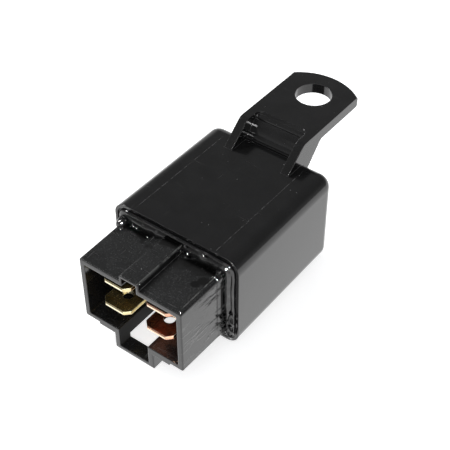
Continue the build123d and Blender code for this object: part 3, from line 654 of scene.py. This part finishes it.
def lacqueredResistor():
    look = resistorLook
    material, tree, place, shader = startMaterial("lacqueredResistor")
    low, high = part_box("resistor")
    middle, half = (low[2] + high[2]) / 2, (high[2] - low[2]) / 2
    grain = useGroup(tree, mouldedGrain, place, {"Grains per Metre": look["grains"]})
    height, mottle = grain.outputs[0], grain.outputs[1]
    tone = mixColour(tree, ramp(tree, mottle, *look["mottle"]), look["body"], look["shade"])
    along = axesOf(tree, place)["Z"]
    for share, colour in look["bands"]:
        gap = distanceFrom(tree, along, middle + share * half)
        band = ramp(tree, gap, look["band"], look["band"] * look["sharp"])
        tone = mixColour(tree, band, tone, colour)
    tree.links.new(tone, shader.inputs["Base Color"])
    tree.links.new(span(tree, height, *look["gloss"]), shader.inputs["Roughness"])
    tree.links.new(bumped(tree, mottle, look["bump"], look["depth"]), shader.inputs["Normal"])
    shader.inputs["Coat Weight"].default_value = look["lacquer"]
    return material


coilEnamel = enamelledWinding()
braidCopper = wovenBraid()
resistorLacquer = lacqueredResistor()

nodeFinishes = {
    "case": casePlastic, "base": basePlastic, "potting_seal": pottingResin,
    "coil_terminal_upper": bladeBrass, "coil_terminal_lower": bladeBrass,
    "fixed_contact_terminal": bladeCopper, "common_terminal": bladeCopper,
    "yoke": platedIron, "core": platedIron, "armature": platedIron,
    "bobbin": bobbinPlastic, "coil_winding": coilEnamel,
    "coil_lead_upper": springCopper, "coil_lead_lower": springCopper,
    "contact_arm": springCopper, "return_spring": springCopper, "braid": braidCopper,
    "contact_arm_rivets": rivetBrass, "spring_rivets": rivetBrass, "yoke_rivets": rivetBrass,
    "moving_contact": contactSilver, "fixed_contact": contactSilver,
    "resistor": resistorLacquer, "resistor_lead_upper": tinnedWire,
    "resistor_lead_lower": tinnedWire,
}
for name, finish in nodeFinishes.items():
    for slot in nodesByName[name].material_slots:
        slot.material = finish
print("finishes given to", len(nodeFinishes), "nodes")


# The return spring and the braid: one end on the housing, the other on the armature
flexShape = {
    "bentSpring": {
        "node": "return_spring", "finish": springCopper, "slot": "spring_copper",
        "start": (-0.01224, -0.0199, -0.01214), "end": (-0.0114, -0.0178, -0.01214),
    },
    "bentBraid": {
        "node": "braid", "finish": braidCopper, "slot": "braid_copper",
        "start": (0.0049, -0.0300, -0.0155), "end": (0.0049, -0.0184, -0.0155),
    },
}


def flexPieces():
    for name, look in flexShape.items():
        mesh = nodesByName[look["node"]].data.copy()
        mesh.name = name
        mesh.materials.clear()
        mesh.materials.append(look["finish"])
        piece = bpy.data.objects.new(name, mesh)
        scene.collection.objects.link(piece)
        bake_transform(piece)
        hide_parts(look["node"])


flexPieces()


# The potting resin, as it was poured and wiped round the shroud; its shapes are in millimetres
def resinPiece(name, bm, levels):
    bmesh.ops.recalc_face_normals(bm, faces=bm.faces)
    bmesh.ops.scale(bm, vec=(mm, mm, mm), verts=bm.verts)
    mesh = bpy.data.meshes.new(name)
    bm.to_mesh(mesh)
    bm.free()
    for face in mesh.polygons:
        face.use_smooth = True
    piece = bpy.data.objects.new(name, mesh)
    scene.collection.objects.link(piece)
    mesh.materials.append(pottingResin)
    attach(piece, "housing")
    finer = piece.modifiers.new("finer", "SUBSURF")
    finer.levels = levels
    finer.render_levels = levels
    return piece


# The bead runs from the shroud's collar out to the case's rim. Collar and rim are half width, low
# and high; the profile is the share of the way from one to the other and the depth there
beadShape = {
    "mouth": -44.1, "back": 0.80, "cuts": (46, 34), "corners": (1.5, 2.25), "segments": 7,
    "collar": (11.72, -20.02, -5.30), "rim": (13.62, -22.22, -2.68),
    "profile": [
        (0.00, -0.62), (0.07, -0.66), (0.20, -0.66), (0.44, -0.42), (0.50, -0.08), (0.54, -0.06),
        (0.60, -0.34), (0.66, -0.34), (0.80, -0.12), (0.84, 0.30), (0.88, 0.46), (0.95, 0.44),
        (1.00, 0.20),
    ],
    "swell": 0.10, "swellScale": 0.42, "ripple": 0.07, "rippleScale": 1.25, "push": 1.5,
    "side": 1.2, "sideScale": 0.9, "sideShift": (7, 3, 1), "hold": 6, "merge": 0.0005, "levels": 2,
}


def roundedLoop(bm, halfX, lowZ, highZ, radius, y):
    for v in bm.verts:
        v.select = True  # what was there before
    bmesh.ops.create_grid(bm, x_segments=1, y_segments=1, size=1.0)
    verts = [v for v in bm.verts if not v.select]
    side = max(v.co.x for v in verts)
    bmesh.ops.scale(bm, verts=verts, vec=(halfX / side, (highZ - lowZ) / 2 / side, 1))
    bmesh.ops.bevel(bm, geom=verts, offset=radius, offset_type="OFFSET", profile=0.5,
                    segments=beadShape["segments"], affect="VERTICES", material=-1)
    verts = [v for v in bm.verts if not v.select]
    edges = list({e for v in verts for e in v.link_edges})
    bmesh.ops.delete(bm, geom=list({f for v in verts for f in v.link_faces}), context="FACES_ONLY")
    for axis, count in enumerate(beadShape["cuts"]):
        straight = [e for e in edges if abs(e.verts[0].co[axis] - e.verts[1].co[axis]) > 2 * radius]
        bmesh.ops.subdivide_edges(bm, edges=straight, cuts=count)
    verts = [v for v in bm.verts if not v.select]
    turn = Matrix.Rotation(math.pi / 2, 3, "X")
    bmesh.ops.rotate(bm, verts=verts, cent=(0, 0, 0), matrix=turn)
    bmesh.ops.translate(bm, verts=verts, vec=(0, y, (lowZ + highZ) / 2))
    return verts, list({e for v in verts for e in v.link_edges})


def rippled(verts, share):
    shape = beadShape
    middle = (shape["rim"][1] + shape["rim"][2]) / 2
    hold = min(1.0, share * shape["hold"]) * min(1.0, (1.0 - share) * shape["hold"])
    for v in verts:
        outwards = Vector((v.co.x, 0, v.co.z - middle)).normalized()
        wave = noise.noise(v.co * shape["swellScale"]) * shape["swell"]
        wave += noise.noise(v.co * shape["rippleScale"]) * shape["ripple"]
        v.co.y -= wave * shape["push"]
        sideways = noise.noise(v.co * shape["sideScale"] + Vector(shape["sideShift"]))
        v.co += outwards * sideways * shape["ripple"] * shape["side"] * hold


def pottingBead():
    shape = beadShape
    bm = bmesh.new()
    back = shape["mouth"] + shape["back"]
    profile = [(share, shape["mouth"] + depth, True) for share, depth in shape["profile"]]
    profile += [(1.0, back, False), (0.0, back, False)]
    loops = []
    for share, y, free in profile:
        ends = zip(shape["collar"], shape["rim"])
        halfX, lowZ, highZ = (first + (last - first) * share for first, last in ends)
        radius = shape["corners"][0] + (shape["corners"][1] - shape["corners"][0]) * share
        verts, edges = roundedLoop(bm, halfX, lowZ, highZ, radius, y)
        if free:
            rippled(verts, share)
        loops.append(edges)
    for first, second in zip(loops, loops[1:] + loops[:1]):
        bmesh.ops.bridge_loops(bm, edges=first + second)
    bmesh.ops.remove_doubles(bm, verts=bm.verts, dist=shape["merge"])
    piece = resinPiece("pottingBead", bm, shape["levels"])
    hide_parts("potting_seal")


# Two thin strands twisted round each other, beside the shroud's lower right edge
twistShape = {
    "x": 12.95, "y": -44.95, "top": -14.8, "foot": -21.3, "turns": 1.5, "steps": 48,
    "swing": 0.64, "flat": 0.5, "lift": 0.35, "fade": 5, "radius": 0.26, "sides": 10, "levels": 1,
}


def twistPoint(phase, share):
    shape = twistShape
    angle = phase + share * shape["turns"] * 2 * math.pi
    fade = min(1.0, share * shape["fade"], (1 - share) * shape["fade"])
    return Vector((
        shape["x"] + math.cos(angle) * shape["swing"] * fade,
        shape["y"] + math.sin(angle) * shape["swing"] * shape["flat"] * fade
        + shape["lift"] * (1 - fade),
        shape["top"] + (shape["foot"] - shape["top"]) * share,
    ))


def resinTwist():
    shape = twistShape
    bm = bmesh.new()
    for phase in (0.0, math.pi):
        points = [twistPoint(phase, index / shape["steps"]) for index in range(shape["steps"] + 1)]
        ring = bmesh.ops.create_circle(bm, cap_ends=True, radius=shape["radius"],
                                       segments=shape["sides"])["verts"]
        bmesh.ops.translate(bm, verts=ring, vec=points[0])
        face = next(f for f in bm.faces if all(v in ring for v in f.verts))
        for point, nextPoint in zip(points, points[1:]):
            made = bmesh.ops.extrude_face_region(bm, geom=[face])["geom"]
            if face.is_valid:
                bmesh.ops.delete(bm, geom=[face], context="FACES_ONLY")
            face = next(g for g in made if isinstance(g, bmesh.types.BMFace))
            bmesh.ops.translate(bm, verts=face.verts, vec=nextPoint - point)
    resinPiece("resinTwist", bm, shape["levels"])


# Rounded blocks of resin on the shroud's top corners, at the collar
shoulderShape = {
    "blocks": [((-11.25, -45.20, -5.20), (1.10, 1.50, 1.10)),
               ((11.22, -45.25, -5.62), (0.72, 1.75, 0.80))],
    "subdivisions": 5, "square": 2.6, "levels": 1,
    "rise": 0.10, "riseScale": 1.1, "side": 0.05, "sideScale": 0.9, "sideShift": (3, 1, 5),
}


def resinShoulders():
    shape = shoulderShape
    power = shape["square"]
    bm = bmesh.new()
    for middle, half in shape["blocks"]:
        ball = bmesh.ops.create_icosphere(bm, subdivisions=shape["subdivisions"], radius=1.0)
        for v in ball["verts"]:
            v.co /= sum(abs(part) ** power for part in v.co) ** (1 / power)
            v.co = Vector(part * reach for part, reach in zip(v.co, half)) + Vector(middle)
            v.co.z += noise.noise(v.co * shape["riseScale"]) * shape["rise"]
            shifted = v.co * shape["sideScale"] + Vector(shape["sideShift"])
            v.co.x += noise.noise(shifted) * shape["side"]
    resinPiece("resinShoulders", bm, shape["levels"])


# Small flat drops left on the bead, the connector and the case's edge: middle and radius
dropShape = {
    "flat": 0.80, "around": 20, "rings": 12, "levels": 1,
    "spots": [
        (2.75, -44.50, -3.90, 0.36), (3.70, -45.00, -4.75, 0.44), (6.90, -44.60, -3.50, 0.34),
        (9.46, -44.10, -2.16, 0.26), (-9.3, -44.75, -5.2, 0.34), (-8.3, -45.0, -5.2, 0.30),
        (-10.6, -46.75, -5.24, 0.30), (-5.2, -45.6, -5.22, 0.22), (2.15, -56.20, -3.95, 0.30),
        (11.0, -56.25, -5.34, 0.32), (10.45, -46.50, -5.30, 0.30),
    ],
}


def resinDrops():
    shape = dropShape
    bm = bmesh.new()
    for x, y, z, radius in shape["spots"]:
        drop = bmesh.ops.create_uvsphere(bm, u_segments=shape["around"],
                                         v_segments=shape["rings"], radius=radius)["verts"]
        bmesh.ops.scale(bm, verts=drop, vec=(1, 1, shape["flat"]))
        bmesh.ops.translate(bm, verts=drop, vec=(x, y, z))
    resinPiece("resinDrops", bm, shape["levels"])


pottingBead()
resinTwist()
resinShoulders()
resinDrops()
print("potting resin shaped")


# The floor is white to the camera and in reflections, and keeps the relay's shadow
floorLook = {
    "tone": (0.82, 0.82, 0.82, 1), "lift": 0.70, "near": 0.10, "far": 0.32, "mirrored": 1.4,
    "reach": 6.0, "gap": 0.00005,
}
white = (1, 1, 1, 1)


def paleFloor():
    look = floorLook
    bm = bmesh.new()
    bmesh.ops.create_grid(bm, x_segments=1, y_segments=1, size=look["reach"] / 2)
    bmesh.ops.translate(bm, verts=bm.verts, vec=(0, 0, cadBox[0][2] - look["gap"]))
    mesh = bpy.data.meshes.new("paleFloor")
    bm.to_mesh(mesh)
    bm.free()
    floor = bpy.data.objects.new("paleFloor", mesh)
    scene.collection.objects.link(floor)
    mesh.materials.append(paleFloorFinish())


def paleFloorFinish():
    look = floorLook
    material = bpy.data.materials.new("paleFloor")
    material.use_nodes = True
    tree = material.node_tree
    tree.nodes.clear()
    rays = addNode(tree, "ShaderNodeLightPath").outputs
    paper = addNode(tree, "ShaderNodeBsdfDiffuse", values={"Color": look["tone"]}).outputs[0]
    place = addNode(tree, "ShaderNodeTexCoord").outputs["Object"]
    away = addNode(tree, "ShaderNodeVectorMath", {"operation": "LENGTH"}, wires={0: place})
    paler = span(tree, away.outputs["Value"], look["near"], look["far"], look["lift"], 1.0)
    lift = addNode(tree, "ShaderNodeEmission", values={"Color": white},
                   wires={"Strength": times(tree, rays["Is Camera Ray"], paler)}).outputs[0]
    lit = addNode(tree, "ShaderNodeAddShader", wires={0: paper, 1: lift}).outputs[0]
    mirrored = addNode(tree, "ShaderNodeEmission",
                       values={"Color": white, "Strength": look["mirrored"]}).outputs[0]
    seen = maths(tree, "MAXIMUM", rays["Is Glossy Ray"], rays["Is Transmission Ray"])
    above = addNode(tree, "ShaderNodeMixShader", wires={0: seen, 1: lit, 2: mirrored}).outputs[0]
    below = addNode(tree, "ShaderNodeBsdfTransparent").outputs[0]
    side = addNode(tree, "ShaderNodeNewGeometry").outputs["Backfacing"]
    both = addNode(tree, "ShaderNodeMixShader", wires={0: side, 1: above, 2: below}).outputs[0]
    addNode(tree, "ShaderNodeOutputMaterial", wires={"Surface": both})
    return material


roomLook = {
    "fill": (0.62, 0.63, 0.65, 1), "fillStrength": 0.55,
    "horizon": 0.45, "above": 0.19, "climb": 0.50,
}


def paleWorld():
    look = roomLook
    world = bpy.data.worlds.new("paleWorld")
    scene.world = world
    world.use_nodes = True
    tree = world.node_tree
    tree.nodes.clear()
    rays = addNode(tree, "ShaderNodeLightPath").outputs
    rise = axesOf(tree, addNode(tree, "ShaderNodeTexCoord").outputs["Generated"])["Z"]
    climb = span(tree, rise, 0.0, look["climb"], look["horizon"], look["above"])
    fill = addNode(tree, "ShaderNodeBackground",
                   values={"Color": look["fill"], "Strength": look["fillStrength"]}).outputs[0]
    mirrored = addNode(tree, "ShaderNodeBackground", values={"Color": white},
                       wires={"Strength": climb}).outputs[0]
    plain = addNode(tree, "ShaderNodeBackground",
                    values={"Color": white, "Strength": 1.0}).outputs[0]
    room = addNode(tree, "ShaderNodeMixShader",
                   wires={0: rays["Is Glossy Ray"], 1: fill, 2: mirrored}).outputs[0]
    seen = addNode(tree, "ShaderNodeMixShader",
                   wires={0: rays["Is Camera Ray"], 1: room, 2: plain}).outputs[0]
    addNode(tree, "ShaderNodeOutputWorld", wires={"Surface": seen})


# Three soft lamps, and small flashes that only give glints on the pieces named
flashPlace = (0.086, -0.150, 0.150)
blades = ["coil_terminal_upper", "coil_terminal_lower", "fixed_contact_terminal", "common_terminal"]
resinPieces = ["pottingBead", "resinTwist", "resinShoulders", "resinDrops"]
lamps = {
    "softLeft": {"at": (-0.40, -0.06, 0.34), "size": 0.16, "power": 1.9},
    "softRight": {"at": (0.16, -0.50, 0.34), "size": 1.00, "power": 1.5},
    "softBack": {"at": (-0.30, 0.42, 0.10), "size": 0.34, "power": 0.15},
    "bladeFlash": {"at": flashPlace, "size": 0.026, "power": 1.3, "onto": blades},
    "mouldFlash": {"at": flashPlace, "size": 0.030, "power": 0.25, "onto": ["case", "base"]},
    "resinFlash": {"at": flashPlace, "size": 0.030, "power": 2.6, "onto": resinPieces},
}
lampAim = (0, -0.025, -0.012)


def placeLamps():
    for name, lamp in lamps.items():
        light = bpy.data.lights.new(name, "AREA")
        light.shape = "DISK"
        light.size = lamp["size"]
        light.energy = lamp["power"]
        holder = bpy.data.objects.new(name, light)
        holder.location = lamp["at"]
        way = Vector(lampAim) - Vector(lamp["at"])
        holder.rotation_euler = way.to_track_quat("-Z", "Y").to_euler()
        scene.collection.objects.link(holder)
        if "onto" in lamp:
            holder.visible_diffuse = False
            lit = bpy.data.collections.new(name)
            for piece in lamp["onto"]:
                isNode = piece in nodesByName
                lit.objects.link(nodesByName[piece] if isNode else bpy.data.objects[piece])
            holder.light_linking.receiver_collection = lit


# Where the photograph was taken from: place in metres, angles in degrees, lens in millimetres
view = {
    "eye": (0.09056, -0.14884, 0.12723), "turn": 37.14, "rise": 42.75, "roll": -0.197,
    "lens": 85.482, "sensor": 36.0, "clip": 0.01,
}


def setCamera():
    turn, rise, roll = (math.radians(view[key]) for key in ("turn", "rise", "roll"))
    back = Vector((
        math.sin(turn) * math.cos(rise), -math.cos(turn) * math.cos(rise), math.sin(rise),
    ))
    right = Vector((math.cos(turn), math.sin(turn), 0))
    up = back.cross(right)
    across = right * math.cos(roll) + up * math.sin(roll)
    along = up * math.cos(roll) - right * math.sin(roll)
    data = bpy.data.cameras.new("photoCamera")
    data.lens = view["lens"]
    data.sensor_width = view["sensor"]
    data.clip_start = view["clip"]
    camera = bpy.data.objects.new("photoCamera", data)
    axes = Matrix((across, along, back)).transposed().to_4x4()
    camera.matrix_world = Matrix.Translation(view["eye"]) @ axes
    scene.collection.objects.link(camera)
    scene.camera = camera


scene.view_settings.view_transform = "Standard"
paleFloor()
paleWorld()
placeLamps()
setCamera()
print("floor, light and camera placed")
